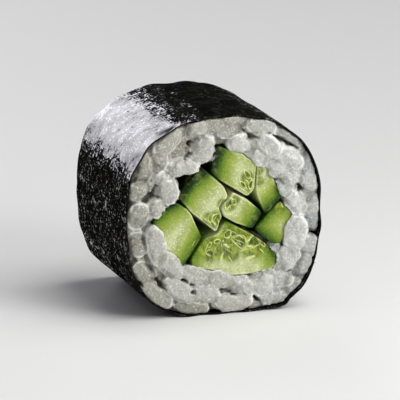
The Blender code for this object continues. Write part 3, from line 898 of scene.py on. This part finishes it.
cucumber = dict(
    # the whole cucumber's radius, how much fuller each stick is drawn, and how far its edges are rounded
    radius=13.5 * mm, grow=0.1 * mm, edge=0.2 * mm,
    around=260, frontRings=56, backRings=26, sideRows=14, edgeSteps=5,
    squeeze=0.6 * mm,  # how much fuller the sticks are inside the roll, where they press together
    # relief of the cut faces: rims stand proud, gel and core lie lower
    rimProud=0.12 * mm, gelSunk=0.05 * mm, coreSunk=0.10 * mm, uneven=0.05 * mm, unevenSpacing=2.4 * mm,
    # the flesh's colour at depths under the skin, in centimetres, darkest at real skin and at edges in
    # painted shade, then what lies over it
    flesh=(
        (0.0, (0.006, 0.022, 0.001)), (0.035, (0.010, 0.048, 0.001)), (0.075, (0.055, 0.145, 0.002)),
        (0.14, (0.18, 0.29, 0.010)), (0.25, (0.35, 0.44, 0.060)), (0.45, (0.61, 0.66, 0.34))),
    bundle=(0.05, 0.13, 0.006), green=(0.34, 0.44, 0.05), fleck=(0.88, 0.92, 0.66),
    coreDark=(0.06, 0.11, 0.002), coreLight=(0.24, 0.32, 0.015), corePale=(0.42, 0.51, 0.05),
    jellyDark=(0.04, 0.08, 0.002), jellyLight=(0.16, 0.24, 0.01),
    # pale rims round seeds, then a painted highlight along the cut faces' edges
    rim=(0.80, 0.87, 0.34), edgeHighlight=(0.86, 0.90, 0.58),
    # all in millimetres and degrees:
    # dark sides, at real skin and at edges in painted shade: directions that each faces, and how deep under
    # it that edge lies
    # seedy: x, z and reach of the seed core; seeds: x, z from the roll's axis, heading, length and width
    # strands: pale threads of the core, given as the seeds are
    looks={
        "cucumber_top": dict(
            skinAndShadeSides=((164, -0.6), (60, 2.6)), seedy=((4.4, 5.3, 2.0), (4.9, 3.9, 1.3)),
            seeds=((4.1, 6.6, -60, 1.7, 0.7), (3.3, 4.9, -50, 1.4, 0.6), (4.6, 4.7, 80, 1.5, 0.7)),
            strands=((4.7, 5.8, -42, 1.3, 0.34), (4.1, 5.3, -50, 1.2, 0.24), (4.75, 3.6, 50, 1.0, 0.5),
                     (4.9, 6.9, -70, 1.4, 0.24), (3.9, 4.3, -60, 1.1, 0.22), (5.1, 4.4, 80, 1.2, 0.24),
                     (3.2, 4.1, -40, 1.6, 0.14), (3.6, 3.9, -40, 1.6, 0.12), (4.9, 4.7, 85, 1.2, 0.18),
                     (3.4, 9.3, -42, 2.2, 0.14), (4.4, 8.9, -38, 2.4, 0.16), (2.6, 5.9, 75, 1.1, 0.12))),
        "cucumber_upper_right": dict(
            skinAndShadeSides=((-46, -0.2), (-115, 1.2)), seedy=((5.9, 7.2, 1.2), (6.0, 5.2, 1.0)), seeds=(),
            strands=((6.1, 7.4, -50, 1.4, 0.14), (6.5, 6.4, -60, 1.0, 0.12))),
        "cucumber_mid_left": dict(
            skinAndShadeSides=((135, -0.7),), seedy=((-1.2, -0.8, 1.7), (-2.6, -0.6, 1.3), (-0.2, 1.8, 1.0)),
            seeds=((-1.1, -0.75, -60, 1.9, 1.5), (-2.3, -0.5, 80, 1.3, 0.6), (-0.2, 2.1, 70, 1.6, 0.7)),
            strands=((-3.0, -0.8, -47, 3.0, 0.2), (-2.4, -1.2, -50, 2.4, 0.13), (-1.5, -0.7, 65, 1.3, 0.14),
                     (-0.9, -1.0, -70, 0.9, 0.12), (-0.6, 2.9, -60, 1.0, 0.14))),
        "cucumber_mid_right": dict(
            skinAndShadeSides=((-30, -0.2), (-75, 1.4)), seedy=((0.9, 1.9, 1.5), (1.9, 2.4, 0.9)),
            seeds=((0.7, 1.9, 60, 1.8, 1.1), (1.7, 2.1, -65, 1.1, 0.6)),
            strands=((1.1, 1.2, -70, 1.3, 0.16), (0.4, 1.1, -50, 1.4, 0.16), (1.9, 1.7, 50, 0.9, 0.12))),
        "cucumber_left": dict(
            skinAndShadeSides=((122, 0.1), (-32, 0.5)), seedy=(), seeds=(), strands=((-5.2, -4.6, 60, 1.6, 0.12),)),
        "cucumber_right": dict(
            skinAndShadeSides=((222, 0.0), (130, 0.3), (40, 1.1)), seedy=((9.9, 0.4, 1.0),), seeds=(),
            strands=((10.2, 0.7, -60, 0.8, 0.3),)),
        "cucumber_bottom": dict(
            skinAndShadeSides=((148, 0.9), (58, 0.9)),
            seedy=((1.6, -4.6, 3.0), (4.8, -5.2, 2.8), (-1.9, -5.8, 2.4), (2.6, -3.4, 1.8),
                   (1.2, -6.4, 2.0)),
            seeds=((0.7, -3.45, 70, 1.35, 1.0), (1.7, -3.5, -40, 1.1, 0.7), (2.9, -4.65, -30, 2.6, 1.7),
                   (5.05, -4.9, 20, 2.1, 1.9), (-1.2, -4.4, 10, 1.0, 0.7), (-2.4, -4.9, 60, 0.9, 0.5),
                   (-2.4, -6.3, -10, 1.1, 0.8), (6.7, -5.3, -50, 1.3, 0.6), (-0.2, -4.9, 80, 1.0, 0.4)),
            strands=((3.1, -4.0, -38, 1.2, 0.25), (2.3, -4.5, -35, 1.8, 0.12), (3.2, -4.9, -30, 1.6, 0.12),
                     (2.6, -5.1, -28, 1.5, 0.1), (5.0, -5.9, 28, 2.2, 0.16), (0.9, -6.2, -40, 1.8, 0.14),
                     (0.4, -5.3, -30, 1.6, 0.5), (-0.4, -7.3, 75, 2.2, 0.5), (3.6, -6.2, 10, 2.2, 0.18),
                     (4.6, -7.6, 15, 2.2, 0.6), (1.2, -7.7, -60, 1.8, 0.25), (6.6, -6.6, -45, 1.6, 0.16),
                     (-1.4, -5.6, 65, 1.6, 0.14), (-3.0, -5.4, 70, 1.4, 0.12), (-1.0, -3.2, 25, 2.2, 0.12),
                     (3.4, -2.9, -32, 2.8, 0.12), (5.6, -3.8, -38, 2.0, 0.14), (0.2, -2.6, 10, 2.0, 0.12))),
    })


def skinAndShadeDepth(name, spot, direction):
    # how deep each point (x, z) lies under the dark side that faces that way, at real skin and at edges in
    # painted shade alike, on the cucumber's own curve
    stick = sticks[name]
    edge = stick["middle"] + unit(sectionAngles) * (stick["radius"] + cucumber["grow"])[:, None]
    outward = unit(math.radians(direction))
    reach = edge @ outward
    crown = edge[reach > reach.max() - 0.35 * mm].mean(axis=0)  # the middle of the outermost stretch
    centre = crown - outward * cucumber["radius"] + outward * (reach.max() - crown @ outward)
    away = spot - centre
    return cucumber["radius"] - np.hypot(away[..., 0], away[..., 1])


def seedMarks(spot, look):
    # seeds are ovals with gel inside and a pale rim; strands are thin pale ovals; the core fades outwards
    seedy, gel, rim = (np.zeros(spot.shape[:-1]) for _ in range(3))
    for x, z, reach in look["seedy"]:
        away = np.hypot(spot[..., 0] - x * mm, spot[..., 1] - z * mm) / (reach * mm)
        seedy = np.maximum(seedy, 1 - smoothStep(away, 0.6, 1.2))
    wobble = 0.12 * waves(np.insert(spot, 1, 0, axis=-1), 1.1 * mm, 12, 5)
    for kind in ("seeds", "strands"):
        for x, z, degrees, long, wide in look[kind]:
            away = spot - np.array([x, z]) * mm
            along, across = unit(np.radians(degrees)), unit(np.radians(degrees + 90))
            length, breadth = away @ along, away @ across
            bow = (length / mm) ** 2 * 0.12 * mm
            oval = np.hypot(length / (long / 2 * mm), (breadth + bow) / (wide / 2 * mm)) + wobble
            if kind == "seeds":
                gel = np.maximum(gel, 1 - smoothStep(oval, 0.6, 0.95))
                rim = np.maximum(rim, np.exp(-((oval - 1.05) / 0.16) ** 2) * (0.9 + 2 * wobble))
            else:
                rim = np.maximum(rim, 0.9 * (1 - smoothStep(oval, 0.4, 1.1)))
    return seedy, gel, np.clip(rim, 0, 1)


def faceRings(outline, rings):
    # an end face from its middle outwards, then over its rounded edge: radii and how far each is sunk
    edge = cucumber["edge"]
    shares = np.linspace(0.03, 1, rings) ** 0.8
    ease = np.linspace(0, math.pi / 2, cucumber["edgeSteps"] + 1)[1:]
    insets = np.concatenate([edge + 0 * shares, edge * (1 - np.sin(ease))])
    sunk = np.concatenate([0 * shares, edge * (1 - np.cos(ease))])
    return (outline[:, None] - insets) * np.concatenate([shares, np.ones(len(ease))]), sunk


def loftFaces(rows, columns):
    # quads over (angle, place along the profile), and a fan round the pole that closes each end
    first = np.arange(rows) * columns
    second, last = np.roll(first, -1), first + columns - 1
    fans = np.concatenate([
        np.stack([np.full(rows, rows * columns), second, first], axis=-1),
        np.stack([np.full(rows, rows * columns + 1), last, np.roll(last, -1)], axis=-1)])
    return gridQuads(rows, columns, wrapRows=True)[:, ::-1], fans


def cucumberStick(name):
    # a loft over (angle, place along the profile): front face, rounded edge, side, edge, back face
    stick, look, edge = sticks[name], cucumber["looks"][name], cucumber["edge"]
    angle = np.arange(cucumber["around"]) * (turn / cucumber["around"])
    outline = readRing(aroundMean(stick["radius"], sectionEasing) + cucumber["grow"], angle)
    front, frontSunk = faceRings(outline, cucumber["frontRings"])
    back, backSunk = faceRings(outline, cucumber["backRings"])
    sideShare = np.linspace(0, 1, cucumber["sideRows"] + 2)[1:-1]
    fuller = cucumber["squeeze"] * smoothStep(0.5 - np.abs(sideShare - 0.5), 0.06, 0.3)
    radius = np.concatenate([front, outline[:, None] + fuller, back[:, ::-1]], axis=1)
    spot = stick["middle"] + unit(angle)[:, None] * radius[..., None]
    # depth under the nearest dark side, at real skin and at edges in painted shade
    depth = np.min([skinAndShadeDepth(name, spot, facing) + under * mm for facing, under in look["skinAndShadeSides"]], axis=0)
    seedy, gel, rim = seedMarks(spot - (axisX, axisZ), look)
    nearEdge = smoothStep(radius - outline[:, None], -0.5 * mm, -0.05 * mm)
    uneven = waves(np.insert(spot, 1, 0, axis=-1), cucumber["unevenSpacing"], 14, len(name))
    proud = (cucumber["rimProud"] * rim - cucumber["gelSunk"] * gel
             - cucumber["coreSunk"] * seedy + cucumber["uneven"] * uneven)
    frontPlane, backPlane = endPlane(stick["front"], spot), endPlane(stick["back"], spot)
    y = frontPlane + edge
    atFront = slice(0, front.shape[1])
    atSide = slice(front.shape[1], front.shape[1] + len(sideShare))
    atBack = slice(front.shape[1] + len(sideShare), None)
    y[:, atFront] = (frontPlane[:, atFront] + frontSunk) - proud[:, atFront]
    y[:, atSide] += (backPlane - frontPlane - 2 * edge)[:, atSide] * sideShare
    y[:, atBack] = (backPlane[:, atBack] - backSunk[::-1]) + proud[:, atBack]
    points = np.stack([spot[..., 0], y, spot[..., 1]], axis=-1)
    poles = np.array([points[:, 0].mean(axis=0), points[:, -1].mean(axis=0)])
    values = {"depth": depth / mm, "seedy": seedy, "gel": gel, "rim": rim, "nearEdge": nearEdge}
    for key, number in values.items():
        values[key] = np.append(number.ravel(), [number[:, 0].mean(), number[:, -1].mean()])
    quads, fans = loftFaces(*radius.shape)
    return newPiece(
        name + "_stick", np.concatenate([points.reshape(-1, 3), poles]), quads, fans, values=values)


def cucumberMaterial():
    # green skin, and edges in painted shade, fading into pale flesh; a seed core with jelly; pale rims
    # round seeds; and a painted highlight along the edges
    s = Shader("cucumber_flesh", IOR=1.4, Subsurface_Weight=0.3, Subsurface_Radius=(0.9, 1.0, 0.3),
               Subsurface_Scale=0.6 * mm, Specular_IOR_Level=0.35, Coat_Roughness=0.1)
    here = s.place()
    mottle = s.noise(here, 1.1 * mm, detail=5, roughness=0.6)
    fine = s.noise(here, 0.3 * mm, detail=3)
    # the flesh darkens towards real skin and towards edges in painted shade
    depth = s.value("depth") + (mottle - 0.5) * 1.1 + (fine - 0.5) * 1.6
    flesh = s.ramp(depth / 10, cucumber["flesh"])
    bundles = s.cells(here, 0.55 * mm).between(0.45, 0.2)
    band = depth.between(0.5, 1.2) * (1 - depth.between(1.8, 3.2))
    flesh = s.mix(bundles * band * fine.between(0.4, 0.6) * 0.5, flesh, cucumber["bundle"])
    flesh = s.mix(mottle.between(0.5, 0.35) * 0.35, flesh, cucumber["green"])
    flesh = s.mix(fine.between(0.5, 0.68) * depth.between(2.0, 4.5) * 0.6, flesh, cucumber["fleck"])
    streaks = s.noise(s.place((1.6, 0.3, 0.5)), 0.7 * mm, detail=4, roughness=0.6, distortion=0.8)
    core = s.mix(streaks.between(0.38, 0.62), cucumber["coreDark"], cucumber["coreLight"])
    core = s.mix(mottle.between(0.48, 0.66) * 0.7, core, cucumber["corePale"])
    colour = s.mix(s.value("seedy") * 0.9, flesh, core)
    jelly = s.mix(streaks.between(0.4, 0.6), cucumber["jellyDark"], cucumber["jellyLight"])
    colour = s.mix(s.value("gel") * 0.85, colour, jelly)
    colour = s.mix(s.value("rim") * (fine * 2.6 - 0.3), colour, cucumber["rim"])
    # painted highlight along the edges of the cut faces
    paintedEdgeHighlight = s.value("nearEdge") * depth.between(0.8, 2.5) * (fine + 0.1) * 0.8
    colour = s.mix(paintedEdgeHighlight, colour, cucumber["edgeHighlight"])
    bump = s.bump(mottle, 0.10 * mm, 0.3)
    bump = s.bump(fine, 0.05 * mm, 0.4, bump)
    wet = 0.04 + 0.3 * depth.between(0.6, 2.0) * (1 - 0.5 * s.value("seedy"))
    return s.finish(Base_Color=colour, Roughness=0.25 + 0.25 * fine, Coat_Weight=wet, Normal=bump)


cucumberLook = cucumberMaterial()
for stickName in stickNames:
    finishPiece(cucumberStick(stickName), cucumberLook, "cucumber", stickName)
print("cucumber made")


studio = dict(
    floor=(0.86, 0.86, 0.85), floorRoughness=0.6, floorReach=3.0,
    world=(0.95, 0.97, 1.0), worldStrength=0.08,
    # soft panels: the direction each stands in, its distance, size and power in watts
    lights={
        "key": dict(towards=(0.6, -0.85, 0.5), distance=0.25, size=(0.12, 0.12), power=0.36,
                    colour=(1.0, 0.99, 0.97), spread=math.pi),
        "top": dict(towards=(0.45, -0.1, 1.0), distance=1.2, size=(1.0, 1.0), power=11.0,
                    colour=(1.0, 1.0, 1.0), spread=math.pi),
        "nori_panel": dict(towards=(-0.12, 0.93, 0.21), distance=0.6, size=(0.44, 0.30), power=0.215,
                           colour=(0.95, 0.94, 1.0), spread=math.radians(60))},
    # the camera aims left of the front face's middle and above it
    view=dict(azimuth=math.radians(-18), elevation=math.radians(13.5), distance=0.7, lens=383,
              left=4.0 * mm, up=2.5 * mm))


def addToScene(name, data, location, facing):
    # a light or camera whose back looks along the direction facing
    made = bpy.data.objects.new(name, data)
    made.location = location
    made.rotation_euler = facing.to_track_quat("Z", "Y").to_euler()
    bpy.context.scene.collection.objects.link(made)
    return made


def studioFloor():
    # a wide flat square, well past what any view shows
    reach = studio["floorReach"]
    corners = np.array([[-reach, -reach, 0], [reach, -reach, 0], [reach, reach, 0], [-reach, reach, 0]])
    floor = newPiece("floor", corners, np.array([[0, 1, 2, 3]]))
    s = Shader("floor_plain")
    floor.data.materials.append(
        s.finish(Base_Color=(*studio["floor"], 1), Roughness=studio["floorRoughness"]))


def studioLight():
    # a faint even world, and rectangular panels that look at the roll's middle
    world = bpy.data.worlds.new("studio")
    bpy.context.scene.world = world
    world.use_nodes = True
    background = world.node_tree.nodes["Background"]
    background.inputs["Color"].default_value = (*studio["world"], 1)
    background.inputs["Strength"].default_value = studio["worldStrength"]
    for name, panel in studio["lights"].items():
        light = bpy.data.lights.new(name, "AREA")
        light.shape = "RECTANGLE"
        light.size, light.size_y = panel["size"]
        light.energy, light.color, light.spread = panel["power"], panel["colour"], panel["spread"]
        towards = Vector(panel["towards"]).normalized()
        addToScene(name, light, Vector((axisX, 0, axisZ)) + towards * panel["distance"], towards)


def studioCamera():
    # looks at the front face from its azimuth and elevation, counted from -Y
    view = studio["view"]
    sine, cosine = math.sin(view["azimuth"]), math.cos(view["azimuth"])
    level = math.cos(view["elevation"])
    back = Vector((sine * level, -cosine * level, math.sin(view["elevation"])))
    right = Vector((cosine, sine, 0))
    up = back.cross(right)
    aim = Vector((axisX, frontY, axisZ)) - right * view["left"] + up * view["up"]
    data = bpy.data.cameras.new("camera")
    data.lens, data.sensor_width, data.clip_start = view["lens"], 36, 0.01
    bpy.context.scene.camera = addToScene("camera", data, aim + back * view["distance"], back)


studioFloor()
studioLight()
studioCamera()
bpy.context.scene.view_settings.view_transform = "Standard"
print("stage set")
